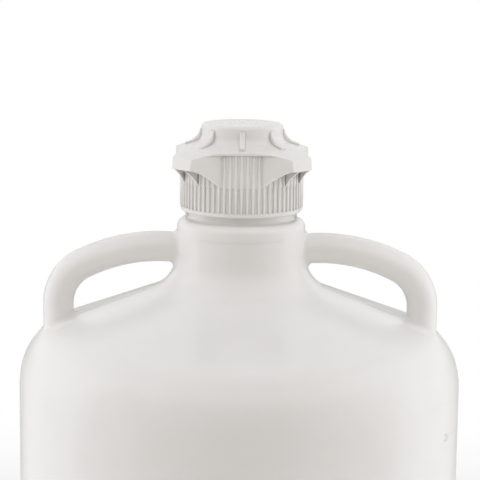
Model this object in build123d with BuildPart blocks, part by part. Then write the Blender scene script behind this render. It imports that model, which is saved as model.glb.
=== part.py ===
from build123d import *
import os
from math import acos, cos, degrees, radians, sin, tan

# ---------------------------------------------------------------------------
# Large laboratory carboy with spigot.
# Units are millimetres. The origin is the centre of the base, +Z is up,
# -Y is the front, where the spigot is. The handles lie along X.
# ---------------------------------------------------------------------------

# Bottle: body and base
body_radius = 237.0
body_wall = 4.5
base_foot_width = 14.0         # flat ring that it stands on, from the heel inwards
base_push_up = 9.0             # how far the middle of the base is raised
base_push_up_run = 16.0        # radial run of the slope up to it
heel_radius = 41.0             # quarter round between the wall and that ring

# Bottle: shoulder, from the body up to the neck
wall_height = 616.0            # base to the end of the straight wall
corner_radius = 72.5
corner_top_angle = 43.0        # degrees of the corner before the tighter blend
blend_radius = 30.0
shoulder_slope = 20.8          # degrees below level
shoulder_fillet = 45.0         # concave, between shoulder and neck

# Bottle: neck, collar and finish
neck_radius = 68.6
collar_rise = 176.5            # end of the straight wall to the top of the collar
collar_edge_radius = 9.0
finish_radius = 56.8           # plain cylinder that the closure screws over
finish_root_fillet = 2.6
finish_wall = 5.0
finish_height = 72.5           # collar top to lip
lip_round = 1.5
lug_reach = 3.0                # parting-line lugs under the closure
lug_width = 2.4
lug_height = 7.0

# Bottle: handles, hollow and moulded in one with it
handle_reach = 212.3           # axis to the outer side of the handle
handle_thickness = 32.3
handle_depth = 38.0
handle_wall = 4.0
handle_bend_rise = 81.6        # end of the straight wall to the centre of the outer bend
handle_bend_radius = 48.0      # centre line
handle_arch_radius = 184.0     # centre line
handle_turn = 27.0             # degrees below level where arch meets bend
handle_root_inset = 6.8        # start of its centre line, inside the neck's surface
handle_fillet = 5.0

# Bottle: boss for the spigot
spigot_z = 72.0
boss_radius = 32.0
boss_stand_out = 13.0          # beyond the body
boss_root_depth = 30.0         # inwards from the body's surface, before the cavity is cut
boss_fillet = 6.0
shank_radius = 16.0
shank_clearance = 0.15

# Closure
skirt_gap = 8.5                # collar top to the bottom of the skirt
skirt_height = 69.0            # up to the flange
skirt_radius = 64.2            # bottom of the grooves between the grip ribs
skirt_bore = 60.3
skirt_band_height = 5.3
skirt_band_radius = 64.9
skirt_edge_round = 3.0
grip_rib_count = 68
grip_rib_width = 1.9
grip_rib_height = 1.5
grip_rib_top_gap = 3.0         # flange to the top of the ribs
flange_slope = 16.0            # degrees, falling outwards
flange_thickness = 2.8
hub_radius = 43.2
hub_rise = 24.2                # flange at the skirt to the top of the hub
hub_edge_radius = 4.0
hub_root_fillet = 10.0
hub_wall = 3.8
lobe_count = 4
lobe_reach = 87.4              # axis to the top of a lobe's outer face
lobe_lean = 8.0                # degrees, outwards going down
lobe_width = 29.5
lobe_face_height = 12.3
lobe_wall = 2.2
pocket_root = 0.5              # skirt left thicker behind the hollows
lobe_overrun = 1.2             # its sides run on past the corners, to be cut by its outer face
lobe_corner_round = 2.0        # upright edges of its outer face
recess_width = 39.0            # between the walls of two lobes, where they leave the skirt
recess_reach = 61.2            # axis to the middle of that recess, inside the skirt
flange_edge_width = 56.0       # straight edge of the flange over the recess
flange_edge_reach = 65.9       # axis to that edge
flange_corner_round = 12.0     # both ends of that edge
envelope_margin = 8.0          # turned blank beyond the lobes
web_drop = 19.5                # lobe's outer lower edge to the foot of its webs
web_bow = 3.1                  # how far the webs' lower edge bows up from straight
hub_rib_count = 8
hub_rib_width = 5.4
hub_rib_reach = 60.5
hub_rib_foot = 2.8             # height of the blunt end
hub_rib_top_drop = 5.6         # top of the hub to the top of the rib
hub_rib_top_run = 1.5          # short level run before the hollow curve
hub_rib_bow = 2.6
hub_rib_edge_round = 1.4

# Closure gasket, a flat ring between the lip and the closure
gasket_thickness = 3.0
gasket_width = 12.0
gasket_side_gap = 0.3

# Spigot
seal_thickness = 3.0
seal_radius = 27.0
hex_across_flats = 46.0
hex_thickness = 8.0
shank_length = 24.0
waterway_radius = 7.0
link_radius = 12.5
barrel_from_hex = 30.0         # hex face to the axis of the barrel
barrel_radius = 19.0
barrel_above = 25.0
barrel_below = 21.0
plug_radius = 12.0
plug_clearance = 0.1
spout_radius = 11.0
spout_reach = 36.0             # barrel axis to the axis of the nozzle
spout_bend_radius = 16.0
nozzle_drop = 50.0             # spigot axis to the end of the nozzle
nozzle_radius = 9.5
nozzle_length = 22.0
nozzle_chamfer = 1.2
shank_chamfer = 1.5
spigot_root_fillet = 2.0

# Plug that turns in the spigot
plug_cap_radius = 17.5
plug_cap_thickness = 4.0
plug_cap_gap = 0.3
key_length = 66.0
key_thickness = 9.0
key_height = 19.0
key_edge_round = 2.5
plug_tail = 7.0                # below the barrel
ring_section = 2.8             # diameter of the O-rings' section
ring_offset = 13.5             # spigot axis to each O-ring
ring_squeeze_gap = 0.1
clip_thickness = 1.6
clip_groove_depth = 1.8
clip_outer_radius = 16.0
clip_gap = 0.3
clip_opening = 14.0

# ---------------------------------------------------------------------------
# Worked-out places
# ---------------------------------------------------------------------------
collar_top_z = wall_height + collar_rise
handle_bend_z = wall_height + handle_bend_rise
lip_z = collar_top_z + finish_height
skirt_bottom_z = collar_top_z + skirt_gap
flange_z = skirt_bottom_z + skirt_height          # flange's top at the skirt radius
hub_top_z = flange_z + hub_rise
ceiling_z = lip_z + gasket_thickness
boss_face_y = -(body_radius + boss_stand_out)
hex_back_y = boss_face_y - seal_thickness
hex_front_y = hex_back_y - hex_thickness
barrel_y = hex_front_y - barrel_from_hex
nozzle_y = barrel_y - spout_reach
barrel_top_z = spigot_z + barrel_above
barrel_bottom_z = spigot_z - barrel_below
barrel_bore_radius = plug_radius + plug_clearance


def flange_height(radius):
    """Height of the flange's conical top at a radius from the axis."""
    return flange_z - tan(radians(flange_slope)) * (radius - skirt_radius)


def polar(centre, radius, degrees_up):
    """Point at a radius and an angle from a centre, in the (r, z) section."""
    angle = radians(degrees_up)
    return (centre[0] + radius * cos(angle), centre[1] + radius * sin(angle))


def section_plane(turn):
    """Upright half-section plane through the axis, turned from +X towards +Y.

    Revolved faces have their seam there, so it is kept clear of what joins them.
    """
    angle = radians(turn)
    return Plane(origin=(0, 0, 0), x_dir=(cos(angle), sin(angle), 0), z_dir=(sin(angle), -cos(angle), 0))


# ---------------------------------------------------------------------------
# Bottle
# ---------------------------------------------------------------------------
def body_outline(inset, top_z):
    """Closed half section of the body, shoulder and neck, moved inwards by inset.

    The shoulder is the body's corner arc, a tighter blend, a straight cone and
    a concave fillet, each tangent to the next, so that the same centres serve
    the outer surface and the cavity.
    """
    corner_centre = (body_radius - corner_radius, wall_height)
    blend_centre = polar(corner_centre, corner_radius - blend_radius, corner_top_angle)
    cone_angle = 90 - shoulder_slope
    cone_start = polar(blend_centre, blend_radius, cone_angle)
    fillet_r = neck_radius + shoulder_fillet
    cone_z = cone_start[1] + tan(radians(shoulder_slope)) * (cone_start[0] - fillet_r)
    fillet_centre = (fillet_r, cone_z + shoulder_fillet / cos(radians(shoulder_slope)))
    heel_centre = (body_radius - heel_radius, heel_radius)
    foot_inner = heel_centre[0] - base_foot_width
    rise_start = foot_inner - base_push_up_run
    with BuildLine() as outline:
        axis_foot = (0, base_push_up + inset)
        rise = (rise_start, base_push_up + inset)
        foot = (foot_inner, inset)
        heel_start = (heel_centre[0], inset)
        Polyline(axis_foot, rise, foot, heel_start)
        CenterArc(heel_centre, heel_radius - inset, -90, 90)
        Line((body_radius - inset, heel_radius), (body_radius - inset, wall_height))
        CenterArc(corner_centre, corner_radius - inset, 0, corner_top_angle)
        CenterArc(blend_centre, blend_radius - inset, corner_top_angle, cone_angle - corner_top_angle)
        Line(
            polar(blend_centre, blend_radius - inset, cone_angle),
            polar(fillet_centre, shoulder_fillet + inset, cone_angle + 180),
        )
        CenterArc(fillet_centre, shoulder_fillet + inset, cone_angle + 180, -cone_angle)
        Polyline(
            (neck_radius - inset, fillet_centre[1]),
            (neck_radius - inset, top_z),
            (0, top_z),
            axis_foot,
        )
    return outline.edges()


def handle_path():
    """Centre line of one handle: arch, bend and leg, from inside the neck into the body."""
    leg_r = handle_reach - handle_thickness / 2
    bend_centre = (leg_r - handle_bend_radius, handle_bend_z)
    turn_angle = 90 - handle_turn
    arch_centre = polar(bend_centre, handle_bend_radius - handle_arch_radius, turn_angle)
    start_r = neck_radius - handle_root_inset
    start_angle = degrees(acos((start_r - arch_centre[0]) / handle_arch_radius))
    with BuildLine(Plane.XZ) as path:
        CenterArc(arch_centre, handle_arch_radius, start_angle, turn_angle - start_angle)
        CenterArc(bend_centre, handle_bend_radius, turn_angle, -turn_angle)
        Line((leg_r, handle_bend_z), (leg_r, wall_height + corner_radius / 2))
    return path


def handle_tube(half_depth, half_thickness):
    """Sweep the handle's oval section along its path, on both sides of the bottle."""
    path = handle_path()
    start = Plane(origin=path.line @ 0, x_dir=(0, 1, 0), z_dir=path.line % 0)
    with BuildPart(mode=Mode.PRIVATE) as tube:
        with BuildSketch(start):
            Ellipse(half_depth, half_thickness)
        sweep(path=path.line)
        mirror(about=Plane.YZ)
    return tube


collar_centre = (neck_radius - collar_edge_radius, collar_top_z - collar_edge_radius)
finish_fillet_centre = (finish_radius + finish_root_fillet, collar_top_z + finish_root_fillet)
lip_centre = (finish_radius - lip_round, lip_z - lip_round)
throat_radius = finish_radius - finish_wall
throat_z = collar_centre[1] - body_wall / 2

bottle_section = section_plane(45)
with BuildPart() as bottle:
    # Body, shoulder and neck below the collar
    with BuildSketch(bottle_section):
        make_face(body_outline(0, collar_centre[1]))
    revolve(axis=Axis.Z)
    # Handles, with a small fillet where they run into the neck and the shoulder
    add(handle_tube(handle_depth / 2, handle_thickness / 2).part)
    fillet(bottle.edges(Select.NEW), handle_fillet)
    # Rounded collar and the plain finish that the closure goes over
    with BuildSketch(bottle_section):
        with BuildLine():
            Polyline(
                (0, lip_z),
                (0, collar_centre[1]),
                (neck_radius, collar_centre[1]),
            )
            CenterArc(collar_centre, collar_edge_radius, 0, 90)
            Line((collar_centre[0], collar_top_z), (finish_fillet_centre[0], collar_top_z))
            CenterArc(finish_fillet_centre, finish_root_fillet, -90, -90)
            Line((finish_radius, finish_fillet_centre[1]), (finish_radius, lip_centre[1]))
            CenterArc(lip_centre, lip_round, 0, 90)
            Line((lip_centre[0], lip_z), (0, lip_z))
        make_face()
    revolve(axis=Axis.Z)
    # Lugs on the parting line, between collar and closure
    with BuildSketch(Plane.XY.offset(collar_centre[1])):
        Rectangle(2 * (finish_radius + lug_reach), lug_width)
    extrude(amount=collar_edge_radius + lug_height)
    # Boss for the spigot
    with BuildSketch(Plane.XZ.offset(-boss_face_y)):
        with Locations((0, spigot_z)):
            Circle(boss_radius)
    extrude(amount=-(boss_stand_out + boss_root_depth))
    fillet(bottle.edges(Select.NEW).sort_by(Axis.Y)[-1], boss_fillet)
    # Cavity, open at the lip
    with BuildSketch(bottle_section):
        make_face(body_outline(body_wall, throat_z))
    revolve(axis=Axis.Z, mode=Mode.SUBTRACT)
    with BuildSketch(bottle_section):
        with BuildLine():
            Polyline(
                (0, throat_z),
                (neck_radius - body_wall, throat_z),
                (throat_radius, collar_top_z),
                (throat_radius, lip_z),
                (0, lip_z),
                close=True,
            )
        make_face()
    revolve(axis=Axis.Z, mode=Mode.SUBTRACT)
    add(
        handle_tube(handle_depth / 2 - handle_wall, handle_thickness / 2 - handle_wall).part,
        mode=Mode.SUBTRACT,
    )
    # Hole for the spigot's shank
    with Locations(Plane.XZ.offset(-boss_face_y) * Location((0, spigot_z, 0))):
        Hole(shank_radius + shank_clearance, depth=boss_stand_out + boss_root_depth)
bottle.part.label = "bottle"

# ---------------------------------------------------------------------------
# Closure
# ---------------------------------------------------------------------------
hub_edge_centre = (hub_radius - hub_edge_radius, hub_top_z - hub_edge_radius)
slope = radians(flange_slope)
hub_root_centre = (
    hub_radius + hub_root_fillet,
    flange_height(hub_radius + hub_root_fillet) + hub_root_fillet / cos(slope),
)
hub_bore = hub_radius - hub_wall
hub_ceiling_z = hub_top_z - hub_wall
skirt_band_z = skirt_bottom_z + skirt_band_height
band_edge_centre = (skirt_band_radius - skirt_edge_round, skirt_bottom_z + skirt_edge_round)
lobe_top_z = flange_height(lobe_reach)
lobe_bottom_z = lobe_top_z - lobe_face_height
lobe_bottom_reach = lobe_reach + lobe_face_height * tan(radians(lobe_lean))
web_foot_z = lobe_bottom_z - web_drop


def lobed_plan(middle_reach, middle_width, height, shrink=0.0, corner_round=0.0):
    """Plan of the lobes: straight edges between them, and sides splayed out to the lobes' corners.

    The lobes run past their outer faces, which lobe_frame cuts. shrink moves
    every edge inwards, for the hollow under the lobes, and corner_round eases
    both ends of the straight edges.
    """
    corner = (lobe_reach + lobe_width / 2) / 2**0.5, (lobe_reach - lobe_width / 2) / 2**0.5
    recess = middle_reach, middle_width / 2
    far = tuple(r + (c - r) * lobe_overrun for r, c in zip(recess, corner))
    points = []
    for k in range(lobe_count):
        for x, y in [(recess[0], -recess[1]), recess, far, far[::-1]]:
            points.append(Vector(x, y).rotate(Axis.Z, k * 360 / lobe_count))
    with BuildSketch(Plane.XY.offset(height)) as plan:
        Polygon(*points, align=None)
        if corner_round:
            fillet(plan.vertices().sort_by_distance((0, 0, height))[: 2 * lobe_count], corner_round)
        if shrink:
            offset(amount=-shrink, kind=Kind.INTERSECTION)
    return plan.sketch


def lobe_frame(shrink):
    """Leaning four-sided frame that gives the lobes their outer faces."""
    lean = tan(radians(lobe_lean))
    side = 2 * (lobe_bottom_reach - shrink) + 2 * (lobe_bottom_z - skirt_bottom_z) * lean
    with BuildPart(mode=Mode.PRIVATE) as frame:
        with BuildSketch(Plane.XY.offset(skirt_bottom_z)):
            Rectangle(side, side, rotation=45)
        extrude(amount=hub_top_z - skirt_bottom_z, taper=lobe_lean)
    return frame.part


def web_arc():
    """Lower edge of the lobes and their webs, from the lobe's outer face in to the skirt."""
    web_out = (lobe_reach, lobe_bottom_z)
    web_in = (skirt_radius, web_foot_z)
    web_middle = ((web_out[0] + web_in[0]) / 2, (web_out[1] + web_in[1]) / 2 + web_bow)
    return ThreePointArc(web_in, web_middle, web_out)


def hub_rib():
    """One gusset between hub and flange, with a hollow curve and rounded edges."""
    top_z = hub_top_z - hub_rib_top_drop
    root_r = hub_radius - hub_wall / 2
    top = (hub_radius + hub_rib_top_run, top_z)
    foot_z = flange_height(hub_rib_reach)
    foot = (hub_rib_reach, foot_z + hub_rib_foot)
    middle = ((top[0] + foot[0]) / 2 - hub_rib_bow, (top[1] + foot[1]) / 2 - hub_rib_bow)
    with BuildPart(mode=Mode.PRIVATE) as rib:
        with BuildSketch(Plane.XZ):
            with BuildLine():
                ThreePointArc(top, middle, foot)
                Polyline(
                    foot,
                    (hub_rib_reach, foot_z - flange_thickness / 2),
                    (hub_radius + hub_wall, foot_z - flange_thickness / 2),
                    (root_r, foot_z + hub_wall),
                    (root_r, top_z),
                    top,
                )
            make_face()
        extrude(amount=hub_rib_width / 2, both=True)
        hollow = rib.faces().filter_by(GeomType.CYLINDER)[0]
        level = rib.faces().sort_by(Axis.Z)[-1]
        fillet(hollow.edges() + level.edges().filter_by(Axis.X), hub_rib_edge_round)
    return rib.part


cap_height = hub_top_z - skirt_bottom_z
outer_reach = lobe_bottom_reach + envelope_margin
cap_section = section_plane(2.5 * 360 / grip_rib_count)   # seam midway between two ribs

with BuildPart() as column:
    # Everything that the closure fills seen from above, before it is turned to height
    add(lobed_plan(recess_reach, recess_width, skirt_bottom_z))
    extrude(amount=cap_height)
    edge_z = flange_height(flange_edge_reach) - flange_thickness
    add(lobed_plan(flange_edge_reach, flange_edge_width, edge_z, corner_round=flange_corner_round))
    extrude(amount=hub_top_z - edge_z)
    add(lobe_frame(0), mode=Mode.INTERSECT)
    side_edges = column.edges().filter_by(GeomType.LINE)
    side_edges = side_edges.filter_by_position(Axis.Z, skirt_bottom_z, edge_z, inclusive=(False, False))
    fillet(side_edges.filter_by(Axis.Z, reverse=True), lobe_corner_round)
    with BuildSketch(Plane.XY.offset(skirt_bottom_z)):
        Circle(skirt_band_radius)
    extrude(amount=cap_height)

with BuildPart() as pockets:
    # Hollows under the lobes, on both sides of the web in the middle of each
    add(lobed_plan(recess_reach, recess_width, web_foot_z, lobe_wall))
    extrude(amount=hub_top_z - web_foot_z)
    with BuildSketch(Plane.XY.offset(web_foot_z)):
        Circle(skirt_radius + pocket_root)
        with PolarLocations(0, lobe_count, start_angle=180 / lobe_count):
            Rectangle(2 * lobe_bottom_reach, lobe_wall)
    extrude(amount=hub_top_z - web_foot_z, mode=Mode.SUBTRACT)
    add(lobe_frame(lobe_wall), mode=Mode.INTERSECT)
    with BuildSketch(cap_section):
        Polygon(
            (0, web_foot_z),
            (outer_reach, web_foot_z),
            (outer_reach, flange_height(outer_reach) - flange_thickness),
            (0, flange_height(0) - flange_thickness),
            align=None,
        )
    revolve(axis=Axis.Z, mode=Mode.INTERSECT)

gusset = hub_rib()

with BuildPart() as screw_cap:
    # Skirt, flange and hub in the round, still solid, cut back to the lobed plan
    with BuildSketch(cap_section):
        with BuildLine():
            Line((0, skirt_bottom_z), (band_edge_centre[0], skirt_bottom_z))
            CenterArc(band_edge_centre, skirt_edge_round, -90, 90)
            Polyline(
                (skirt_band_radius, band_edge_centre[1]),
                (skirt_band_radius, skirt_band_z),
                (skirt_radius, skirt_band_z),
                (skirt_radius, web_foot_z),
            )
            web_arc()
            Polyline(
                (lobe_reach, lobe_bottom_z),
                (outer_reach, lobe_bottom_z),
                (outer_reach, flange_height(outer_reach)),
                polar(hub_root_centre, hub_root_fillet, -90 - flange_slope),
            )
            CenterArc(hub_root_centre, hub_root_fillet, -90 - flange_slope, flange_slope - 90)
            Line((hub_radius, hub_root_centre[1]), (hub_radius, hub_edge_centre[1]))
            CenterArc(hub_edge_centre, hub_edge_radius, 0, 90)
            Polyline((hub_edge_centre[0], hub_top_z), (0, hub_top_z), (0, skirt_bottom_z))
        make_face()
    revolve(axis=Axis.Z)
    add(column.part, mode=Mode.INTERSECT)
    add(pockets.part, mode=Mode.SUBTRACT)
    # Gussets between hub and flange
    with PolarLocations(0, hub_rib_count):
        add(gusset)
    # Grip ribs around the skirt
    with BuildSketch(Plane.XY.offset(skirt_band_z)):
        with PolarLocations(skirt_radius, grip_rib_count):
            with Locations((grip_rib_height / 2 - skirt_edge_round / 2, 0)):
                Rectangle(grip_rib_height + skirt_edge_round, grip_rib_width)
    extrude(amount=flange_z - grip_rib_top_gap - skirt_band_z)
    # Inside: skirt bore, ceiling for the gasket and the hollow hub
    with BuildSketch(cap_section):
        Polygon(
            (0, skirt_bottom_z),
            (skirt_bore, skirt_bottom_z),
            (skirt_bore, ceiling_z),
            (skirt_bore - gasket_width - hub_wall, ceiling_z),
            (hub_bore, ceiling_z + hub_wall),
            (hub_bore, hub_ceiling_z),
            (0, hub_ceiling_z),
            align=None,
        )
    revolve(axis=Axis.Z, mode=Mode.SUBTRACT)
screw_cap.part.label = "screw_cap"

# ---------------------------------------------------------------------------
# Closure gasket
# ---------------------------------------------------------------------------
with BuildPart() as cap_gasket:
    with BuildSketch(Plane.XY.offset(lip_z)):
        Circle(skirt_bore - gasket_side_gap)
        Circle(skirt_bore - gasket_width, mode=Mode.SUBTRACT)
    extrude(amount=gasket_thickness)
cap_gasket.part.label = "cap_gasket"

# ---------------------------------------------------------------------------
# Spigot
# ---------------------------------------------------------------------------
with BuildPart() as spigot_seal:
    with BuildSketch(Plane.XZ.offset(-boss_face_y)):
        with Locations((0, spigot_z)):
            Circle(seal_radius)
            Circle(shank_radius + shank_clearance, mode=Mode.SUBTRACT)
    extrude(amount=seal_thickness)
spigot_seal.part.label = "spigot_seal"

shank_end_y = hex_back_y + shank_length
with BuildLine(Plane.YZ) as spout_path:
    Line((barrel_y, spigot_z), (nozzle_y + spout_bend_radius, spigot_z))
    CenterArc((nozzle_y + spout_bend_radius, spigot_z - spout_bend_radius), spout_bend_radius, 90, 90)
    Line((nozzle_y, spigot_z - spout_bend_radius), (nozzle_y, spigot_z - nozzle_drop + nozzle_length))
spout_start = Plane(origin=spout_path.line @ 0, z_dir=spout_path.line % 0)

with BuildPart() as spigot_body:
    # Shank, hexagon to tighten it by, and the link to the barrel
    with BuildSketch(Plane.XZ.offset(-shank_end_y)):
        with Locations((0, spigot_z)):
            Circle(shank_radius)
    extrude(amount=shank_length)
    chamfer(spigot_body.faces().sort_by(Axis.Y)[-1].edges(), shank_chamfer)
    with BuildSketch(Plane.XZ.offset(-hex_back_y)):
        with Locations((0, spigot_z)):
            RegularPolygon(hex_across_flats / 2, 6, major_radius=False)
    extrude(amount=hex_thickness)
    with BuildSketch(Plane.XZ.offset(-hex_front_y)):
        with Locations((0, spigot_z)):
            Circle(link_radius)
    extrude(amount=barrel_from_hex)
    # Barrel for the plug
    with BuildSketch(Plane.XY.offset(barrel_bottom_z)):
        with Locations((0, barrel_y)):
            Circle(barrel_radius)
    extrude(amount=barrel_above + barrel_below)
    # Spout and nozzle
    with BuildSketch(spout_start):
        Circle(spout_radius)
    sweep(path=spout_path.line)
    fillet(spigot_body.edges(Select.LAST).filter_by(GeomType.BSPLINE), spigot_root_fillet)
    with BuildSketch(Plane.XY.offset(spigot_z - nozzle_drop)):
        with Locations((0, nozzle_y)):
            Circle(nozzle_radius)
    extrude(amount=nozzle_length)
    chamfer(spigot_body.faces().sort_by(Axis.Z)[0].edges(), nozzle_chamfer)
    # Waterway: shank, spout and nozzle, and the bore that the plug turns in
    with BuildSketch(Plane.XZ.offset(-shank_end_y)):
        with Locations((0, spigot_z)):
            Circle(waterway_radius)
    extrude(amount=shank_end_y - barrel_y, mode=Mode.SUBTRACT)
    with BuildSketch(spout_start):
        Circle(waterway_radius)
    sweep(path=spout_path.line, mode=Mode.SUBTRACT)
    with BuildSketch(Plane.XY.offset(spigot_z - nozzle_drop)):
        with Locations((0, nozzle_y)):
            Circle(waterway_radius)
    extrude(amount=nozzle_length, mode=Mode.SUBTRACT)
    with BuildSketch(Plane.XY.offset(barrel_bottom_z)):
        with Locations((0, barrel_y)):
            Circle(barrel_bore_radius)
    extrude(amount=barrel_above + barrel_below, mode=Mode.SUBTRACT)
spigot_body.part.label = "spigot_body"

# ---------------------------------------------------------------------------
# Plug, its O-rings and its clip; the plug is shown shut, with its bore across
# ---------------------------------------------------------------------------
ring_outer = barrel_bore_radius - ring_squeeze_gap
ring_centre = ring_outer - ring_section / 2
groove_floor = ring_outer - ring_section - ring_squeeze_gap
clip_top_z = barrel_bottom_z - clip_gap
clip_floor = plug_radius - clip_groove_depth
plug_end_z = barrel_bottom_z - plug_tail
plug_cap_z = barrel_top_z + plug_cap_gap
key_z = plug_cap_z + plug_cap_thickness
groove_half = ring_section / 2 + ring_squeeze_gap

with BuildPart() as spigot_plug:
    # Round plug below the cap, with its grooves cut by revolving their sections
    with BuildSketch(Plane.XY.offset(plug_end_z)):
        with Locations((0, barrel_y)):
            Circle(plug_radius)
    extrude(amount=plug_cap_z - plug_end_z)
    chamfer(spigot_plug.faces().sort_by(Axis.Z)[0].edges(), nozzle_chamfer)
    with BuildSketch(Plane.XY.offset(plug_cap_z)):
        with Locations((0, barrel_y)):
            Circle(plug_cap_radius)
    extrude(amount=plug_cap_thickness)
    fillet(spigot_plug.faces().sort_by(Axis.Z)[-1].edges(), nozzle_chamfer)
    # Key, a bar with round ends
    with BuildSketch(Plane.XY.offset(key_z - nozzle_chamfer)):
        with Locations((0, barrel_y)):
            SlotOverall(key_length, key_thickness)
    extrude(amount=key_height + nozzle_chamfer)
    fillet(spigot_plug.faces().sort_by(Axis.Z)[-1].edges(), key_edge_round)
    # Grooves for the O-rings and the clip
    grooves = [
        (spigot_z + ring_offset - groove_half, 2 * groove_half, groove_floor),
        (spigot_z - ring_offset - groove_half, 2 * groove_half, groove_floor),
        (clip_top_z - clip_thickness, clip_thickness, clip_floor),
    ]
    for z, width, floor in grooves:
        with BuildSketch(Plane.XY.offset(z)):
            with Locations((0, barrel_y)):
                Circle(plug_cap_radius)
                Circle(floor, mode=Mode.SUBTRACT)
        extrude(amount=width, mode=Mode.SUBTRACT)
    # Bore across the plug
    with BuildSketch(Plane.YZ):
        with Locations((barrel_y, spigot_z)):
            Circle(waterway_radius)
    extrude(amount=plug_cap_radius, both=True, mode=Mode.SUBTRACT)
spigot_plug.part.label = "spigot_plug"

plug_rings = []
for name, side in (("plug_ring_upper", 1), ("plug_ring_lower", -1)):
    with BuildPart() as plug_ring:
        with BuildSketch(Plane.YZ):
            with Locations((barrel_y + ring_centre, spigot_z + side * ring_offset)):
                Circle(ring_section / 2)
        revolve(axis=Axis((0, barrel_y, 0), (0, 0, 1)))
    plug_ring.part.label = name
    plug_rings.append(plug_ring.part)

with BuildPart() as plug_clip:
    with BuildSketch(Plane.XY.offset(clip_top_z - clip_thickness)):
        with Locations((0, barrel_y)):
            Circle(clip_outer_radius)
            Circle(clip_floor + ring_squeeze_gap, mode=Mode.SUBTRACT)
            with Locations((0, -clip_outer_radius)):
                Rectangle(clip_opening, 2 * clip_outer_radius, mode=Mode.SUBTRACT)
    extrude(amount=clip_thickness)
plug_clip.part.label = "plug_clip"

# ---------------------------------------------------------------------------
# One STEP file for each piece
# ---------------------------------------------------------------------------
pieces = [
    bottle.part,
    screw_cap.part,
    cap_gasket.part,
    spigot_body.part,
    spigot_seal.part,
    spigot_plug.part,
    *plug_rings,
    plug_clip.part,
]
os.makedirs("parts", exist_ok=True)
for piece in pieces:
    export_step(piece, f"parts/{piece.label}.step")
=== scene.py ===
"""Finishes for a large laboratory carboy with a spigot.

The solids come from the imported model. This file adds what is too fine for
them, such as screw threads, embossed lines and mould marks, gives each piece
the finish of its real plastic or rubber, and sets up a pale studio.
Lengths in the settings are real sizes; Blender's own unit here is the metre.
"""

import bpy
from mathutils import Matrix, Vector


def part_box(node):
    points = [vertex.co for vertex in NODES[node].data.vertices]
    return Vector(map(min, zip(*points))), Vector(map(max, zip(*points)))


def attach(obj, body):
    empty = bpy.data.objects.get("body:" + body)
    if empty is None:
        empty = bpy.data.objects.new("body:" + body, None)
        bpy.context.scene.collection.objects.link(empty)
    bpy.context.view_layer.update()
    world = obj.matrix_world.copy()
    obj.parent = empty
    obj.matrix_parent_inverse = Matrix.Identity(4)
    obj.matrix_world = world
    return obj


bl_info = {
    "name": "Carboy with spigot",
    "version": (1, 0, 0),
    "blender": (4, 5, 0),
    "location": "View3D > Sidebar > Carboy",
    "description": "Threads, mould marks, finishes and studio for a large plastic carboy",
    "category": "Object",
}

from math import acos, copysign, cos, degrees, pi, radians, sin, tan

import bmesh
import bpy
import numpy as np
from mathutils import Matrix, Vector

MM = 0.001

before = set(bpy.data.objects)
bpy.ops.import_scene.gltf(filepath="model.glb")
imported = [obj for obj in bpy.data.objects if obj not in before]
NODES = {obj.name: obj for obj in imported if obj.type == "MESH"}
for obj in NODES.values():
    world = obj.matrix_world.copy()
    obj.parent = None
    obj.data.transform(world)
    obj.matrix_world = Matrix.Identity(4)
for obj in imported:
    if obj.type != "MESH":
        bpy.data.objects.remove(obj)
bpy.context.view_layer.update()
BOTTLE_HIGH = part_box("bottle")[1]


# ---------------------------------------------------------------------------
# Sizes that the frame doesn't state, shared by several pieces
# ---------------------------------------------------------------------------
BODY_RADIUS = BOTTLE_HIGH.x
BODY_WALL = 4.5 * MM
LIP_Z = BOTTLE_HIGH.z
FINISH_HEIGHT = 72.5 * MM
COLLAR_TOP_Z = LIP_Z - FINISH_HEIGHT
COLLAR_RISE = 176.5 * MM
WALL_TOP_Z = COLLAR_TOP_Z - COLLAR_RISE
NECK_START_Z = WALL_TOP_Z + 152.0 * MM
CORNER_RADIUS = 72.5 * MM
CORNER_TOP_ANGLE = 43.0
BLEND_RADIUS = 30.0 * MM
SHOULDER_SLOPE = 20.8
SHOULDER_FILLET = 45.0 * MM
NECK_RADIUS = 68.6 * MM
COLLAR_EDGE = 9.0 * MM
FINISH_RADIUS = 56.8 * MM
CAP_BORE = 60.3 * MM
SKIRT_RADIUS = 64.2 * MM
GRIP_RIBS = 68
GRIP_RIB_FOOT_Z = COLLAR_TOP_Z + 12.3 * MM
GRIP_RIB_TOP_Z = COLLAR_TOP_Z + 74.5 * MM
CAP_PARTING_Z = COLLAR_TOP_Z + 50.0 * MM
HEEL_RADIUS = 41.0 * MM
HANDLE_REACH = 212.3 * MM
HANDLE_THICKNESS = 32.3 * MM
HANDLE_BEND_RISE = 81.6 * MM
HANDLE_BEND = 48.0 * MM
HANDLE_ARCH = 184.0 * MM
HANDLE_TURN = 27.0

# The threads are alike on the bottle and in the closure: section, start and number of turns
THREAD_DEPTH = 2.6 * MM
THREAD_FOOT_WIDTH = 3.4 * MM
THREAD_CREST_WIDTH = 1.8 * MM
THREAD_SINK = 0.4 * MM
THREAD_START_Z = LIP_Z - 24 * MM
FINISH_THREAD_TURNS = 1.5
CLOSURE_THREAD_TURNS = 2.0
STEPS_PER_TURN = 96

# Round foot of a grip rib: heights above its lower end, and the share of its full height reached there
GRIP_RIB_TIP = np.array([0, 0.4, 1.0, 2.0, 3.5]) * MM
GRIP_RIB_TIP_SHARE = (0.25, 0.55, 0.78, 0.95, 1.0)

# Marks on the bottle; angles are in degrees from the front, and the scales count US gallons
FILL_LINE_TURN = 40.0
US_GALLON = 3.7854e-3
SCALE_ZERO_Z = 22.5 * MM
SCALE_NUMBERS = range(2, 26)
SCALE_TOP_GAP = 5 * MM
SCALE_TURNS = (-84.0, 70.0)
LONG_TICK, SHORT_TICK = 5.0, 3.0
NUMERAL_TURN = 4.5
SEAM_WIDTH = 1.2 * MM


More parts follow.
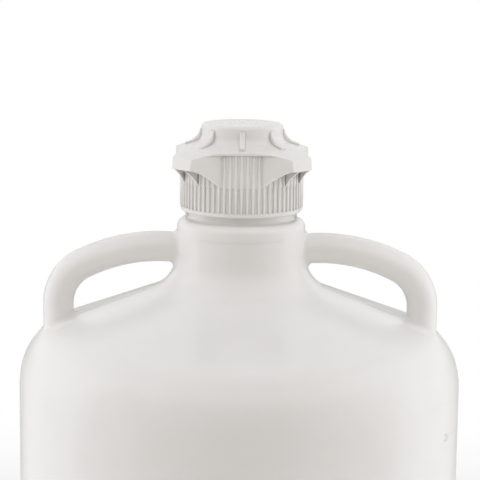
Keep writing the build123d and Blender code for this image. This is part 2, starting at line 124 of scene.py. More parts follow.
# ---------------------------------------------------------------------------
# Outlines of the bottle, as arrays of (radius, height)
# ---------------------------------------------------------------------------
def arc_points(centre, radius, start, stop, step=2 * MM):
    """Points on an arc: the centre plus the radius at evenly spaced angles in degrees."""
    count = max(3, int(abs(radians(stop - start)) * radius / step) + 1)
    angles = np.radians(np.linspace(start, stop, count))
    return np.stack([centre[0] + radius * np.cos(angles), centre[1] + radius * np.sin(angles)], -1)


def shoulder_outline():
    """Outer half section from the heel to the collar: wall, corner arc, blend, cone, fillet and neck.

    Each arc is tangent to the next, so that only the centres have to be found.
    """
    corner = np.array([BODY_RADIUS - CORNER_RADIUS, WALL_TOP_Z])
    turn = radians(CORNER_TOP_ANGLE)
    blend = corner + (CORNER_RADIUS - BLEND_RADIUS) * np.array([cos(turn), sin(turn)])
    cone_angle = 90 - SHOULDER_SLOPE
    start = blend + BLEND_RADIUS * np.array([cos(radians(cone_angle)), sin(radians(cone_angle))])
    fillet_r = NECK_RADIUS + SHOULDER_FILLET
    cone_z = start[1] + tan(radians(SHOULDER_SLOPE)) * (start[0] - fillet_r)
    fillet = np.array([fillet_r, cone_z + SHOULDER_FILLET / cos(radians(SHOULDER_SLOPE))])
    wall = np.array([[BODY_RADIUS, HEEL_RADIUS], [BODY_RADIUS, WALL_TOP_Z]])
    neck = np.array([[NECK_RADIUS, fillet[1]], [NECK_RADIUS, COLLAR_TOP_Z - COLLAR_EDGE]])
    return np.concatenate(
        [
            wall,
            arc_points(corner, CORNER_RADIUS, 0, CORNER_TOP_ANGLE)[1:],
            arc_points(blend, BLEND_RADIUS, CORNER_TOP_ANGLE, cone_angle)[1:],
            arc_points(fillet, SHOULDER_FILLET, cone_angle + 180, 180),
            neck[1:],
        ]
    )


def handle_line(offset):
    """Edge of a handle in its middle plane: its centre line moved outwards by offset."""
    leg_r = HANDLE_REACH - HANDLE_THICKNESS / 2
    bend = np.array([leg_r - HANDLE_BEND, WALL_TOP_Z + HANDLE_BEND_RISE])
    turn = 90 - HANDLE_TURN
    reach = HANDLE_BEND - HANDLE_ARCH
    arch = bend + reach * np.array([cos(radians(turn)), sin(radians(turn))])
    start = degrees(acos((NECK_RADIUS - arch[0]) / (HANDLE_ARCH + offset)))
    leg = np.array([[leg_r + offset, bend[1]], [leg_r + offset, WALL_TOP_Z + CORNER_RADIUS / 2]])
    return np.concatenate(
        [
            arc_points(arch, HANDLE_ARCH + offset, start, turn),
            arc_points(bend, HANDLE_BEND + offset, turn, 0)[1:],
            leg[1:],
        ]
    )


def radius_at(outline, z):
    """Radius of the bottle's wall at a height, read along its outline."""
    return np.interp(z, outline[:, 1], outline[:, 0])


# ---------------------------------------------------------------------------
# Meshes
# ---------------------------------------------------------------------------
def mesh_piece(name, vertices, faces):
    """New object at the origin, made of points and faces."""
    mesh = bpy.data.meshes.new(name)
    mesh.from_pydata(vertices.tolist(), [], faces)
    mesh.validate()
    piece = bpy.data.objects.new(name, mesh)
    bpy.context.scene.collection.objects.link(piece)
    return piece


def tube_faces(rows, columns):
    """Quads of a tube of rows rings with columns points each, with one face closing each end."""
    row, column = np.meshgrid(np.arange(rows - 1), np.arange(columns), indexing="ij")
    beside = (column + 1) % columns
    lower, upper = row * columns, (row + 1) * columns
    quads = np.stack([lower + column, lower + beside, upper + beside, upper + column], -1)
    faces = quads.reshape(-1, 4).tolist()
    faces.append(list(range(columns))[::-1])
    faces.append(list(range((rows - 1) * columns, rows * columns)))
    return faces


def rail(path, outward, width, height, sink=0.3 * MM, columns=9):
    """A moulded ridge: a half-round section carried along a path.

    At each point the section lies in the plane square to the path. It is width
    wide, and it stands proud by height times a half cosine; its foot is sunk
    into the surface. Over one and a half widths the ends fade to nothing.
    """
    along = np.gradient(path, axis=0)
    along /= np.linalg.norm(along, axis=1, keepdims=True)
    out = outward - along * np.sum(outward * along, axis=1, keepdims=True)
    out /= np.linalg.norm(out, axis=1, keepdims=True)
    side = np.cross(along, out)
    u = np.linspace(-0.5, 0.5, columns)
    rise = height * np.cos(pi * u)
    run = np.concatenate([[0], np.cumsum(np.linalg.norm(np.diff(path, axis=0), axis=1))])
    fade = np.sqrt(np.clip(np.minimum(run, run[-1] - run) / (1.5 * width), 0.02, 1))
    across = np.concatenate([u * width, [width / 2, -width / 2]])
    up = np.concatenate([rise, [-sink, -sink]])
    points = (
        path[:, None, :]
        + side[:, None, :] * (across[None, :, None] * fade[:, None, None])
        + out[:, None, :] * np.where(up > 0, up * fade[:, None], up)[:, :, None]
    )
    return points.reshape(-1, 3), tube_faces(len(path), len(across))


def joined(parts):
    """Several (vertices, faces) pairs as one."""
    vertices, faces, start = [], [], 0
    for points, quads in parts:
        vertices.append(points)
        faces += [[start + index for index in quad] for quad in quads]
        start += len(points)
    return np.concatenate(vertices), faces


def solid_piece(name, parts):
    """One smooth piece made of closed shells, with its faces turned outwards."""
    piece = mesh_piece(name, *joined(parts))
    mesh = piece.data
    turn_outwards(mesh)
    mesh.polygons.foreach_set("use_smooth", np.ones(len(mesh.polygons), bool))
    mesh.update()
    return piece


def turn_outwards(mesh):
    """Recalculates the normals of closed shells."""
    work = bmesh.new()
    work.from_mesh(mesh)
    bmesh.ops.recalc_face_normals(work, faces=work.faces[:])
    work.to_mesh(mesh)
    work.free()


def thread_ridge(foot, depth, pitch, turns, z_start):
    """A screw thread's ridge: a trapezium carried along a right-hand helix.

    At angle a the height is z_start + pitch * a / 2 pi. The section's foot is at
    the radius given by foot, and its crest is depth further out, or further in
    where depth is negative. It runs out over the first and last eighth of a turn.
    """
    count = int(turns * STEPS_PER_TURN) + 1
    angle = np.linspace(0, 2 * pi * turns, count)
    run_out = np.clip(np.minimum(angle, angle[-1] - angle) / (pi / 4), 0.03, 1)
    run_out = run_out * run_out * (3 - 2 * run_out)
    top = foot + depth * run_out
    low = np.full(count, foot)
    back = low - copysign(THREAD_SINK, depth)
    half_foot = np.full(count, THREAD_FOOT_WIDTH / 2)
    half_crest = THREAD_CREST_WIDTH / 2 + (half_foot - THREAD_CREST_WIDTH / 2) * (1 - run_out) * 0.5
    z = z_start + pitch * angle / (2 * pi)
    ring_r = np.stack([back, low, top, top, low, back], -1)
    below = [z - half_foot, z - half_foot, z - half_crest]
    above = [z + half_crest, z + half_foot, z + half_foot]
    ring_z = np.stack(below + above, -1)
    a = angle[:, None]
    points = np.stack([ring_r * np.cos(a), ring_r * np.sin(a), ring_z], -1)
    return points.reshape(-1, 3), tube_faces(count, ring_r.shape[1])


# ---------------------------------------------------------------------------
# Materials
# ---------------------------------------------------------------------------
# Sockets of a colour Mix node, which share their names with hidden ones
COLOUR_A, COLOUR_B, COLOUR_RESULT = 6, 7, 2
MOTTLE = 60 * MM
ROUGHNESS_SPREAD = 0.04
# Light goes deepest in the red and least deep in the blue
SCATTER_TINT = (1.0, 0.96, 0.9)


def linear(hex_colour):
    """sRGB hex such as "E8E6E2" as linear RGBA."""
    parts = [int(hex_colour[k : k + 2], 16) / 255 for k in (0, 2, 4)]
    return (*[c / 12.92 if c <= 0.04045 else ((c + 0.055) / 1.055) ** 2.4 for c in parts], 1.0)


def add_node(tree, kind, links=None, **settings):
    """Adds one node. settings are its properties or inputs, links maps inputs to sockets."""
    node = tree.nodes.new(kind)
    for name, value in settings.items():
        if hasattr(node, name):
            setattr(node, name, value)
        else:
            node.inputs[name.replace("_", " ")].default_value = value
    for name, socket in (links or {}).items():
        tree.links.new(socket, node.inputs[name])
    return node


def new_material(name):
    material = bpy.data.materials.new(name)
    material.use_nodes = True
    material.node_tree.nodes.clear()
    return material


def moulded(
    name,
    colour,
    roughness,
    grain=0.5 * MM,
    grain_height=0.006 * MM,
    wave=40 * MM,
    wave_height=0.0,
    shade="",
    scatter=0.0,
    scatter_depth=3 * MM,
    painted_hollow_shade=0.0,
    painted_shade_reach=2.5 * MM,
    ior=1.5,
):
    """A moulded plastic or rubber, with grain, a slow waviness and a little mottle.

    grain and wave are the real distances between marks. shade is a second
    colour that the first drifts to, over a few centimetres. scatter is the share
    of the light that goes in and comes out again, about scatter_depth away.
    A painted shade takes a share of the colour away in hollows, which ambient occlusion finds out to a given
    reach.
    """
    material = new_material(name)
    tree = material.node_tree
    place = add_node(tree, "ShaderNodeTexCoord").outputs["Object"]
    drift = add_node(tree, "ShaderNodeTexNoise", {"Vector": place}, Scale=1 / MOTTLE, Detail=2.0)
    tint = add_node(tree, "ShaderNodeMix", {"Factor": drift.outputs["Fac"]}, data_type="RGBA")
    tint.inputs[COLOUR_A].default_value = linear(colour)
    tint.inputs[COLOUR_B].default_value = linear(shade or colour)
    fine = add_node(tree, "ShaderNodeTexNoise", {"Vector": place}, Scale=1 / grain, Detail=3.0)
    slow = add_node(tree, "ShaderNodeTexNoise", {"Vector": place}, Scale=1 / wave, Detail=1.0)
    rough = add_node(tree, "ShaderNodeMapRange", {"Value": fine.outputs["Fac"]})
    rough.inputs["To Min"].default_value = roughness - ROUGHNESS_SPREAD
    rough.inputs["To Max"].default_value = roughness + ROUGHNESS_SPREAD
    waves = add_node(
        tree, "ShaderNodeBump", {"Height": slow.outputs["Fac"]}, Strength=1.0, Distance=wave_height
    )
    bumps = add_node(
        tree,
        "ShaderNodeBump",
        {"Height": fine.outputs["Fac"], "Normal": waves.outputs["Normal"]},
        Strength=1.0,
        Distance=grain_height,
    )
    shown = tint.outputs[COLOUR_RESULT]
    # Painted shade: ambient occlusion darkens the colour in hollows, standing in for the shade that falls
    # there.
    if painted_hollow_shade:
        open_sky = add_node(tree, "ShaderNodeAmbientOcclusion", Distance=painted_shade_reach).outputs["AO"]
        painted_shade_scale = add_node(tree, "ShaderNodeMapRange", {"Value": open_sky})
        painted_shade_scale.inputs["To Min"].default_value = 1 - painted_hollow_shade
        shown = add_node(
            tree, "ShaderNodeVectorMath", {0: shown, "Scale": painted_shade_scale.outputs["Result"]}, operation="SCALE"
        ).outputs["Vector"]
    shader = add_node(
        tree,
        "ShaderNodeBsdfPrincipled",
        {
            "Base Color": shown,
            "Roughness": rough.outputs["Result"],
            "Normal": bumps.outputs["Normal"],
        },
        IOR=ior,
        Subsurface_Weight=scatter,
        Subsurface_Scale=scatter_depth,
        Subsurface_Radius=SCATTER_TINT,
    )
    add_node(tree, "ShaderNodeOutputMaterial", {"Surface": shader.outputs["BSDF"]})
    return material


def polyethylene_blow_moulded(colour, scatter=0.85):
    # Natural polyethylene, blow moulded: milky, satin, faintly wavy, with light carried inside its wall.
    # Thin ridges laid on the wall take no scatter, which would be lost where they sink in.
    return moulded(
        "polyethylene_blow_moulded" if scatter else "polyethylene_raised",
        colour,
        roughness=0.2,
        grain=1.2 * MM,
        grain_height=0.004 * MM,
        wave=55 * MM,
        wave_height=0.15 * MM,
        shade="F1F0ED",
        scatter=scatter,
        scatter_depth=2 * MM,
        ior=1.54,
    )


def polypropylene_injection_moulded(colour, scatter=0.25):
    # White polypropylene, injection moulded: opaque and satin, with painted shade darkening its narrow
    # grooves.
    # Thin ribs laid on it take no scatter either.
    return moulded(
        "polypropylene_injection_moulded" if scatter else "polypropylene_raised",
        colour,
        roughness=0.27,
        grain=0.7 * MM,
        grain_height=0.008 * MM,
        shade="EFEDEA",
        scatter=scatter,
        scatter_depth=1.0 * MM,
        painted_hollow_shade=0.45,
    )


def polyethylene_injection_moulded(colour):
    # White high-density polyethylene, injection moulded: waxy and a little duller than the closure.
    return moulded(
        "polyethylene_injection_moulded",
        colour,
        roughness=0.45,
        grain=0.6 * MM,
        grain_height=0.01 * MM,
        shade="E4E3DF",
        scatter=0.4,
        scatter_depth=2 * MM,
    )


def silicone_pressed(colour):
    # Translucent silicone rubber, pressed: soft, greyish and matt.
    return moulded(
        "silicone_pressed",
        colour,
        roughness=0.55,
        grain=0.4 * MM,
        grain_height=0.01 * MM,
        scatter=0.5,
        scatter_depth=2 * MM,
        ior=1.41,
    )


def nitrile_rubber_moulded(colour):
    # Black nitrile rubber: matt, with a faint bloom.
    return moulded(
        "nitrile_rubber_moulded", colour, roughness=0.6, grain=0.3 * MM, grain_height=0.01 * MM
    )


def acetal_injection_moulded(colour):
    # Natural acetal: hard, white and slick.
    return moulded(
        "acetal_injection_moulded", colour, roughness=0.25, grain=0.5 * MM, grain_height=0.004 * MM
    )


def give(piece, material):
    """Puts one material on a piece."""
    piece.data.materials.clear()
    piece.data.materials.append(material)


# ---------------------------------------------------------------------------
# Smooth shading of the solids
# ---------------------------------------------------------------------------
JOIN_DISTANCE = 0.002 * MM
CREASE_ANGLE = radians(28)


def rounded_shading_group():
    """Node group that joins loose triangles and shades smooth across edges flatter than a limit."""
    name = "join and shade smooth"
    if name in bpy.data.node_groups:
        return bpy.data.node_groups[name]
    tree = bpy.data.node_groups.new(name, "GeometryNodeTree")
    tree.interface.new_socket("Geometry", in_out="INPUT", socket_type="NodeSocketGeometry")
    tree.interface.new_socket("Geometry", in_out="OUTPUT", socket_type="NodeSocketGeometry")
    source = add_node(tree, "NodeGroupInput")
    join = add_node(
        tree, "GeometryNodeMergeByDistance", {"Geometry": source.outputs[0]}, Distance=JOIN_DISTANCE
    )
    soft = add_node(tree, "GeometryNodeSetShadeSmooth", {"Geometry": join.outputs[0]}, domain="FACE")
    angle = add_node(tree, "GeometryNodeInputMeshEdgeAngle")
    sharp = add_node(
        tree,
        "FunctionNodeCompare",
        {"A": angle.outputs["Unsigned Angle"]},
        data_type="FLOAT",
        operation="GREATER_THAN",
    )
    sharp.inputs["B"].default_value = CREASE_ANGLE
    crease = add_node(
        tree,
        "GeometryNodeSetShadeSmooth",
        {"Geometry": soft.outputs[0], "Selection": sharp.outputs[0]},
        domain="EDGE",
    )
    crease.inputs["Shade Smooth"].default_value = False
    add_node(tree, "NodeGroupOutput", {"Geometry": crease.outputs[0]})
    return tree


def shade_solid(node):
    """Smooth shading for a node of the frame; its own vertices stay as they are."""
    modifier = NODES[node].modifiers.new("smooth", "NODES")
    modifier.node_group = rounded_shading_group()


# ---------------------------------------------------------------------------
# Settings
# ---------------------------------------------------------------------------
def colour_setting(label, used_on, default):
    """A setting that holds an sRGB colour as hex digits."""
    return bpy.props.StringProperty(name=label, description=f"Colour of {used_on}, sRGB hex", default=default)


def length_setting(label, meaning, default):
    """A setting that holds a real length."""
    return bpy.props.FloatProperty(name=label, description=meaning, default=default, unit="LENGTH")


def number_setting(label, meaning, default):
    """A setting that holds a plain number."""
    return bpy.props.FloatProperty(name=label, description=meaning, default=default)


def angle_setting(label, meaning, degrees_default):
    """A setting that holds an angle."""
    return bpy.props.FloatProperty(
        name=label, description=meaning, default=radians(degrees_default), subtype="ANGLE"
    )


class CarboyBottleSettings(bpy.types.PropertyGroup):
    colour: colour_setting("Plastic", "the bottle", "F7F6F4")
    line_width: length_setting("Line width", "Width of the embossed lines", 1.4 * MM)
    line_height: length_setting("Line height", "How far the embossed lines stand out", 0.14 * MM)
    numeral_size: length_setting("Numerals", "Size of the numerals of the scales", 13 * MM)
    fill_line_rise: length_setting("Fill line", "Height of the fill line above the start of the neck", 8 * MM)
    seam_height: length_setting("Parting line", "How far the mould's parting line stands out", 0.35 * MM)
    thread_pitch: length_setting("Thread pitch", "Rise of the closure in one turn", 8 * MM)


class CarboyClosureSettings(bpy.types.PropertyGroup):
    colour: colour_setting("Plastic", "the closure", "F4F3F1")
    # Painted highlight: the ribs are of the closure's own plastic, given a lighter colour for the light on
    # their crests.
    rib_colour: colour_setting("Ribs", "the grip ribs, which look lighter because they are thin", "F9F8F6")
    rib_width: length_setting("Rib width", "Width of a grip rib at the parting line", 4.0 * MM)
    rib_end_width: length_setting("Rib end width", "Width of a grip rib at its ends", 2.2 * MM)
    rib_height: length_setting("Rib height", "How far a grip rib stands out", 1.75 * MM)


class CarboySpigotSettings(bpy.types.PropertyGroup):
    body_colour: colour_setting("Body", "the spigot", "EFEEEB")
    plug_colour: colour_setting("Plug", "the plug", "ECEBE8")


class CarboySealSettings(bpy.types.PropertyGroup):
    seal_colour: colour_setting("Seals", "the flat seals", "D9D6CF")
    ring_colour: colour_setting("O-rings", "the O-rings", "26262A")
    clip_colour: colour_setting("Clip", "the clip", "E9E8E4")


class CarboyStageSettings(bpy.types.PropertyGroup):
    floor_colour: colour_setting("Floor", "the floor", "F4F4F3")
    ambient: number_setting("Ambient", "Strength of the even light from all round", 0.61)
    side_power: number_setting("Side lamps", "Power of each side lamp in watts", 8.2)
    lamp_colour: colour_setting("Lamps", "the lamps", "F8FAFF")
    top_power: number_setting("Top lamp", "Power of the top lamp in watts", 4.9)
    front_drop: number_setting("Dark front", "Share of the even light missing on the camera's side", 0.35)
    front_colour: colour_setting("Front tint", "the even light from the camera's side", "FFF0E2")
    back_gloss_drop: number_setting(
        "Dark edges", "Share of the mirrored white missing straight behind the object", 0.5
    )
    front_gloss_drop: number_setting(
        "Dark reflection", "Share of the mirrored white missing on the camera's side", 0.85
    )
    view_tilt: angle_setting("View", "How far the camera looks down", 9.6)
    view_shift: length_setting("Shift", "How far the view's middle is beside the axis", -1.05 * MM)
    view_roll: angle_setting("Roll", "How far the camera is rolled", 0.7)
    view_distance: length_setting("Distance", "Camera to the bottle's neck", 1.9846)
    lens: number_setting("Lens", "Focal length in millimetres", 138.75)


# ---------------------------------------------------------------------------
# Operators
# ---------------------------------------------------------------------------
def along_wall(angle_degrees, outline, z_low, z_high, step=3 * MM):
    """Upright path on the wall at an angle from the front, with its outward direction."""
    inside = outline[(outline[:, 1] >= z_low) & (outline[:, 1] <= z_high)]
    z = np.unique(np.concatenate([[z_low], inside[:, 1], [z_high]]))
    r = radius_at(outline, z)
    a = radians(angle_degrees)
    path = np.stack([r * sin(a), -r * cos(a), z], -1)
    slope = np.gradient(r, z)
    out = np.stack([np.full_like(z, sin(a)), np.full_like(z, -cos(a)), -slope], -1)
    return path, out


def round_wall(radius, z, start, stop, step=2 * MM):
    """Level path round the wall between two angles from the front, with its outward direction."""
    count = max(4, int(radians(stop - start) * radius / step))
    a = np.radians(np.linspace(start, stop, count))
    path = np.stack([radius * np.sin(a), -radius * np.cos(a), np.full(count, z)], -1)
    out = np.stack([np.sin(a), -np.cos(a), np.zeros(count)], -1)
    return path, out


def numeral(number, turn, z, size, rise):
    """A number laid round the wall, centred at an angle in degrees from the front and a height."""
    text = bpy.data.curves.new("numeral", "FONT")
    text.body = str(number)
    text.size = size
    text.extrude = rise
    text.resolution_u = 3
    text.align_x = "CENTER"
    text.align_y = "CENTER"
    work = bmesh.new()
    work.from_mesh(bpy.data.meshes.new_from_object(bpy.data.objects.new("numeral", text)))
    bmesh.ops.remove_doubles(work, verts=work.verts[:], dist=size * 1e-4)
    flat = np.array([corner.co for corner in work.verts])
    faces = [[corner.index for corner in face.verts] for face in work.faces]
    work.free()
    around = radians(turn) + flat[:, 0] / BODY_RADIUS
    out = BODY_RADIUS + flat[:, 2]
    return np.stack([out * np.sin(around), -out * np.cos(around), z + flat[:, 1]], -1), faces


class CARBOY_OT_bottle(bpy.types.Operator):
    """Finish of the bottle, its thread, its embossed lines and numerals, and its parting line"""

    bl_idname = "carboy.bottle"
    bl_label = "Bottle"

    def execute(self, context):
        settings = context.scene.carboy_bottle
        plastic = polyethylene_blow_moulded(settings.colour)
        give(NODES["bottle"], plastic)
        shade_solid("bottle")
        outline = shoulder_outline()
        lines = solid_piece("embossed_lines", self.marks(settings, outline))
        seam = solid_piece("parting_line", self.seam(settings, outline))
        ridge = thread_ridge(
            FINISH_RADIUS, THREAD_DEPTH, settings.thread_pitch, FINISH_THREAD_TURNS, THREAD_START_Z
        )
        thread = solid_piece("bottle_thread", [ridge])
        raised = polyethylene_blow_moulded(settings.colour, scatter=0.0)
        for piece in (lines, seam, thread):
            give(piece, plastic if piece is thread else raised)
            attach(piece, "bottle_body")
        return {"FINISHED"}

    def marks(self, settings, outline):
        """The fill line on the neck, and two scales on the wall with a tick for each gallon."""
        width, height = settings.line_width, settings.line_height
        fill_z = NECK_START_Z + settings.fill_line_rise
        fill_radius = float(radius_at(outline, fill_z))
        parts = [rail(*round_wall(fill_radius, fill_z, -FILL_LINE_TURN, FILL_LINE_TURN), width, height)]
        pitch = US_GALLON / (pi * (BODY_RADIUS - BODY_WALL) ** 2)
        for number in SCALE_NUMBERS:
            z = SCALE_ZERO_Z + number * pitch
            if z > WALL_TOP_Z - SCALE_TOP_GAP:
                break
            numbered = number % 5 == 0
            reach = LONG_TICK if numbered else SHORT_TICK
            for middle in SCALE_TURNS:
                tick = round_wall(BODY_RADIUS, z, middle - reach / 2, middle + reach / 2)
                parts.append(rail(*tick, width, height))
                if numbered:
                    beside = middle - copysign(NUMERAL_TURN, middle)
                    parts.append(numeral(number, beside, z, settings.numeral_size, height))
        return parts

    def seam(self, settings, outline):
        """The parting line in the plane through both handles, up the wall and over each handle."""
        parts = []
        centre = np.array([0.0, 0.0, WALL_TOP_Z])
        for side in (1, -1):
            wall = along_wall(90 * side, outline, HEEL_RADIUS, COLLAR_TOP_Z - COLLAR_EDGE)
            parts.append(rail(*wall, SEAM_WIDTH, settings.seam_height))
            for outer in (1, -1):
                line = handle_line(outer * HANDLE_THICKNESS / 2)
                path = np.stack([side * line[:, 0], np.zeros(len(line)), line[:, 1]], -1)
                along = np.gradient(path, axis=0)
                normal = np.stack([along[:, 2], np.zeros(len(line)), -along[:, 0]], -1)
                facing = np.sign(np.sum(normal * (path - centre), axis=1, keepdims=True))
                parts.append(rail(path, normal * facing * outer, SEAM_WIDTH, settings.seam_height))
        return parts


def grip_rib(turn, wide, narrow, height, rows_below=7, rows_above=8, columns=11):
    """One rib of the skirt: round in section and widest at the closure's parting line.

    It has draft both ways from there, and its foot rounds off into the band.
    """
    foot, head = GRIP_RIB_FOOT_Z, GRIP_RIB_TOP_Z
    z = np.concatenate(
        [
            foot + GRIP_RIB_TIP[:-1],
            np.linspace(foot + GRIP_RIB_TIP[-1], CAP_PARTING_Z, rows_below, endpoint=False),
            np.linspace(CAP_PARTING_Z, head, rows_above),
        ]
    )
    width = np.interp(z, (foot, CAP_PARTING_Z, head), (narrow, wide, narrow))
    share = np.interp(z, foot + GRIP_RIB_TIP, GRIP_RIB_TIP_SHARE)
    u = np.linspace(-1, 1, columns)
    rise = np.concatenate([height * np.sqrt(1 - u**2), [-height / 4, -height / 4]])
    across = np.concatenate([u, [1, -1]]) / 2
    out = SKIRT_RADIUS + share[:, None] * rise[None, :]
    reach, lateral = np.broadcast_arrays(out, width[:, None] * across[None, :])
    points = np.stack(
        [
            reach * cos(turn) - lateral * sin(turn),
            reach * sin(turn) + lateral * cos(turn),
            np.broadcast_to(z[:, None], reach.shape),
        ],
        -1,
    )
    return points.reshape(-1, 3), tube_faces(len(z), len(across))


class CARBOY_OT_closure(bpy.types.Operator):
    """Finish of the closure, its grip ribs and its thread"""

    bl_idname = "carboy.closure"
    bl_label = "Closure"

    def execute(self, context):
        settings = context.scene.carboy_closure
        pitch = context.scene.carboy_bottle.thread_pitch
        plastic = polypropylene_injection_moulded(settings.colour)
        give(NODES["screw_cap"], plastic)
        shade_solid("screw_cap")
        ribs = solid_piece(
            "grip_ribs",
            [
                grip_rib(turn, settings.rib_width, settings.rib_end_width, settings.rib_height)
                for turn in np.linspace(0, 2 * pi, GRIP_RIBS, endpoint=False)
            ],
        )
        # Half a pitch lower than the bottle's thread, so that its ridge runs in the groove
        start = THREAD_START_Z - pitch / 2
        ridge = thread_ridge(CAP_BORE, -THREAD_DEPTH, pitch, CLOSURE_THREAD_TURNS, start)
        thread = solid_piece("closure_thread", [ridge])
        # The ribs' lighter colour is a painted highlight.
        raised = polypropylene_injection_moulded(settings.rib_colour, scatter=0.0)
        for piece, material in ((ribs, raised), (thread, plastic)):
            give(piece, material)
            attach(piece, "cap_body")
        return {"FINISHED"}


class CARBOY_OT_spigot(bpy.types.Operator):
    """Finish of the spigot's body and plug"""

    bl_idname = "carboy.spigot"
    bl_label = "Spigot"

    def execute(self, context):
        settings = context.scene.carboy_spigot
        body = polypropylene_injection_moulded(settings.body_colour)
        plug = polyethylene_injection_moulded(settings.plug_colour)
        for node, material in (("spigot_body", body), ("spigot_plug", plug)):
            give(NODES[node], material)
            shade_solid(node)
        return {"FINISHED"}


class CARBOY_OT_seals(bpy.types.Operator):
    """Finish of the gasket, the flat seal, the O-rings and the clip"""

    bl_idname = "carboy.seals"
    bl_label = "Seals"

    def execute(self, context):
        settings = context.scene.carboy_seals
        silicone = silicone_pressed(settings.seal_colour)
        rubber = nitrile_rubber_moulded(settings.ring_colour)
        acetal = acetal_injection_moulded(settings.clip_colour)
        finishes = {
            "cap_gasket": silicone,
            "spigot_seal": silicone,
            "plug_ring_upper": rubber,
            "plug_ring_lower": rubber,
            "plug_clip": acetal,
        }
        for node, material in finishes.items():
            give(NODES[node], material)
            shade_solid(node)
        return {"FINISHED"}


FLOOR_RADIUS = 4.0
FLOOR_SIDES = 96
# Distances from the middle where the floor starts to fade to white, and where it is white
FLOOR_FADE = (0.5, 2.2)
# Zones of the surroundings, as the Y and Z parts of a direction: where each starts and where it is complete
FRONT_ZONE = (-0.02, -0.2)
FRONT_ZONE_TOP = (0.6, 0.4)
BACK_ZONE = (0.6, 0.9)
BACK_ZONE_TOP = (0.1, 0.0)
LAMP_AIM_Z = 0.75 * LIP_Z
SIDE_LAMP_PLACE = Vector((1.48, -0.33, 0.86))
SIDE_LAMP_SIZE = (1.0, 1.4)
TOP_LAMP_PLACE = Vector((0.0, -0.9, 2.1))
TOP_LAMP_SIZE = (1.5, 1.5)


def math_node(tree, operation, first, second):
    """A math node of two values, each a number or a socket; gives its output socket."""
    node = tree.nodes.new("ShaderNodeMath")
    node.operation = operation
    for socket, value in zip(node.inputs, (first, second)):
        if isinstance(value, bpy.types.NodeSocket):
            tree.links.new(value, socket)
        else:
            socket.default_value = value
    return node.outputs[0]


def smooth_step(tree, value, start, stop):
    """0 at start, 1 at stop, with soft ends."""
    step = add_node(tree, "ShaderNodeMapRange", {"Value": value}, interpolation_type="SMOOTHSTEP")
    step.inputs["From Min"].default_value = start
    step.inputs["From Max"].default_value = stop
    return step.outputs["Result"]


def seen_rays(tree):
    """1 for the rays that show the surroundings: straight, mirrored or through a clear piece."""
    rays = add_node(tree, "ShaderNodeLightPath")
    seen = math_node(tree, "MAXIMUM", rays.outputs["Is Camera Ray"], rays.outputs["Is Glossy Ray"])
    return math_node(tree, "MAXIMUM", seen, rays.outputs["Is Transmission Ray"])


def front_and_back(tree, way):
    """How far a direction lies on the camera's side, and how far straight behind the object."""
    parts = add_node(tree, "ShaderNodeSeparateXYZ", {"Vector": way})
    zones = []
    for zone, top in ((FRONT_ZONE, FRONT_ZONE_TOP), (BACK_ZONE, BACK_ZONE_TOP)):
        low = smooth_step(tree, parts.outputs["Z"], *top)
        zones.append(math_node(tree, "MULTIPLY", smooth_step(tree, parts.outputs["Y"], *zone), low))
    return zones


def seen_white(tree, front, back, settings):
    """Strength of the white: full where it is looked at, less where the front or the back is mirrored."""
    drop = math_node(
        tree,
        "ADD",
        math_node(tree, "MULTIPLY", front, settings.front_gloss_drop),
        math_node(tree, "MULTIPLY", back, settings.back_gloss_drop),
    )
    direct = add_node(tree, "ShaderNodeLightPath").outputs["Is Camera Ray"]
    return math_node(tree, "MAXIMUM", direct, math_node(tree, "SUBTRACT", 1.0, drop))


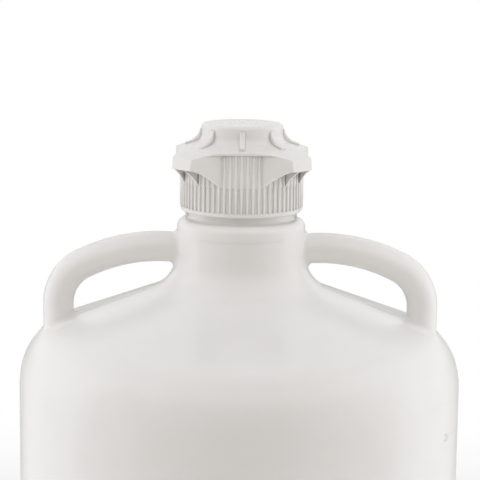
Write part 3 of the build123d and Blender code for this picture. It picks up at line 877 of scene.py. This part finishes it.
class CARBOY_OT_stage(bpy.types.Operator):
    """Floor, lamps, surroundings and camera"""

    bl_idname = "carboy.stage"
    bl_label = "Stage"

    def execute(self, context):
        settings = context.scene.carboy_stage
        self.floor(settings)
        self.surroundings(context, settings)
        self.lamps(settings)
        self.camera(context, settings)
        context.scene.view_settings.view_transform = "Standard"
        return {"FINISHED"}

    def floor(self, settings):
        """A round floor that fades to white with distance and keeps the shadow near the object."""
        a = np.linspace(0, 2 * pi, FLOOR_SIDES, endpoint=False)
        rim = np.stack([FLOOR_RADIUS * np.cos(a), FLOOR_RADIUS * np.sin(a), np.zeros(FLOOR_SIDES)], -1)
        floor = mesh_piece("floor", rim, [list(range(FLOOR_SIDES))])
        material = new_material("painted_board")
        tree = material.node_tree
        place = add_node(tree, "ShaderNodeTexCoord").outputs["Object"]
        length = add_node(tree, "ShaderNodeVectorMath", {0: place}, operation="LENGTH").outputs["Value"]
        way = add_node(tree, "ShaderNodeVectorMath", {0: place}, operation="NORMALIZE").outputs["Vector"]
        both = math_node(tree, "MULTIPLY", seen_rays(tree), smooth_step(tree, length, *FLOOR_FADE))
        paint = add_node(
            tree, "ShaderNodeBsdfPrincipled", Base_Color=linear(settings.floor_colour), Roughness=0.7
        )
        front, back = front_and_back(tree, way)
        white = add_node(tree, "ShaderNodeEmission", {"Strength": seen_white(tree, front, back, settings)})
        mix = add_node(tree, "ShaderNodeMixShader", {0: both, 1: paint.outputs[0], 2: white.outputs[0]})
        add_node(tree, "ShaderNodeOutputMaterial", {"Surface": mix.outputs[0]})
        give(floor, material)

    def surroundings(self, context, settings):
        """White where it is seen, and a plain light elsewhere, weaker and warmer on the camera's side."""
        world = bpy.data.worlds.new("studio")
        world.use_nodes = True
        tree = world.node_tree
        tree.nodes.clear()
        front, back = front_and_back(tree, add_node(tree, "ShaderNodeTexCoord").outputs["Generated"])
        tint = add_node(tree, "ShaderNodeMix", {"Factor": front}, data_type="RGBA")
        tint.inputs[COLOUR_A].default_value = (1, 1, 1, 1)
        tint.inputs[COLOUR_B].default_value = linear(settings.front_colour)
        kept = math_node(tree, "SUBTRACT", 1.0, math_node(tree, "MULTIPLY", front, settings.front_drop))
        faint = math_node(tree, "MULTIPLY", kept, settings.ambient)
        even = add_node(
            tree, "ShaderNodeBackground", {"Color": tint.outputs[COLOUR_RESULT], "Strength": faint}
        )
        white = add_node(tree, "ShaderNodeBackground", {"Strength": seen_white(tree, front, back, settings)})
        white.inputs["Color"].default_value = (1, 1, 1, 1)
        mix = add_node(
            tree, "ShaderNodeMixShader", {0: seen_rays(tree), 1: even.outputs[0], 2: white.outputs[0]}
        )
        add_node(tree, "ShaderNodeOutputWorld", {"Surface": mix.outputs[0]})
        context.scene.world = world

    def lamps(self, settings):
        """Soft boxes to the left, the right and above; the camera's side stays dimmer."""
        mirrored = Vector((-SIDE_LAMP_PLACE.x, SIDE_LAMP_PLACE.y, SIDE_LAMP_PLACE.z))
        self.lamp("lamp_left", mirrored, SIDE_LAMP_SIZE, settings.side_power, settings)
        self.lamp("lamp_right", SIDE_LAMP_PLACE, SIDE_LAMP_SIZE, settings.side_power, settings)
        self.lamp("lamp_top", TOP_LAMP_PLACE, TOP_LAMP_SIZE, settings.top_power, settings)

    def lamp(self, name, place, size, power, settings):
        """One soft box, aimed at the upper part of the bottle and not seen itself."""
        lamp = bpy.data.lights.new(name, "AREA")
        lamp.shape = "RECTANGLE"
        lamp.size, lamp.size_y = size
        lamp.energy = power
        lamp.color = linear(settings.lamp_colour)[:3]
        holder = bpy.data.objects.new(name, lamp)
        holder.location = place
        holder.rotation_euler = (Vector((0, 0, LAMP_AIM_Z)) - place).to_track_quat("-Z", "Y").to_euler()
        holder.visible_camera = False
        holder.visible_glossy = False
        bpy.context.scene.collection.objects.link(holder)

    def camera(self, context, settings):
        """Looks level along +Y and down by the view's tilt, at the start of the neck."""
        aim = Vector((settings.view_shift, 0, NECK_START_Z))
        tilt = settings.view_tilt
        forward = Vector((0, cos(tilt), -sin(tilt)))
        data = bpy.data.cameras.new("camera")
        data.lens = settings.lens
        camera = bpy.data.objects.new("camera", data)
        turn = forward.to_track_quat("-Z", "Y").to_matrix() @ Matrix.Rotation(settings.view_roll, 3, "Z")
        camera.matrix_world = Matrix.Translation(aim - forward * settings.view_distance) @ turn.to_4x4()
        context.scene.collection.objects.link(camera)
        context.scene.camera = camera


class CARBOY_PT_panel(bpy.types.Panel):
    """Lists the pieces of the carboy"""

    bl_idname = "CARBOY_PT_panel"
    bl_label = "Carboy"
    bl_space_type = "VIEW_3D"
    bl_region_type = "UI"
    bl_category = "Carboy"

    def draw(self, context):
        for name, group, operator in STEPS:
            box = self.layout.box()
            for prop in group.__annotations__:
                box.prop(getattr(context.scene, name), prop)
            box.operator(operator.bl_idname)


# Each step: the scene property that holds its settings, their group and its operator
STEPS = (
    ("carboy_bottle", CarboyBottleSettings, CARBOY_OT_bottle),
    ("carboy_closure", CarboyClosureSettings, CARBOY_OT_closure),
    ("carboy_spigot", CarboySpigotSettings, CARBOY_OT_spigot),
    ("carboy_seals", CarboySealSettings, CARBOY_OT_seals),
    ("carboy_stage", CarboyStageSettings, CARBOY_OT_stage),
)


def register():
    for name, group, operator in STEPS:
        bpy.utils.register_class(group)
        bpy.utils.register_class(operator)
        setattr(bpy.types.Scene, name, bpy.props.PointerProperty(type=group))
    bpy.utils.register_class(CARBOY_PT_panel)


def unregister():
    bpy.utils.unregister_class(CARBOY_PT_panel)
    for name, group, operator in reversed(STEPS):
        delattr(bpy.types.Scene, name)
        bpy.utils.unregister_class(operator)
        bpy.utils.unregister_class(group)


def main():
    """Makes every piece in order."""
    register()
    bpy.ops.carboy.bottle()
    bpy.ops.carboy.closure()
    bpy.ops.carboy.spigot()
    bpy.ops.carboy.seals()
    bpy.ops.carboy.stage()


if __name__ == "__main__":
    main()
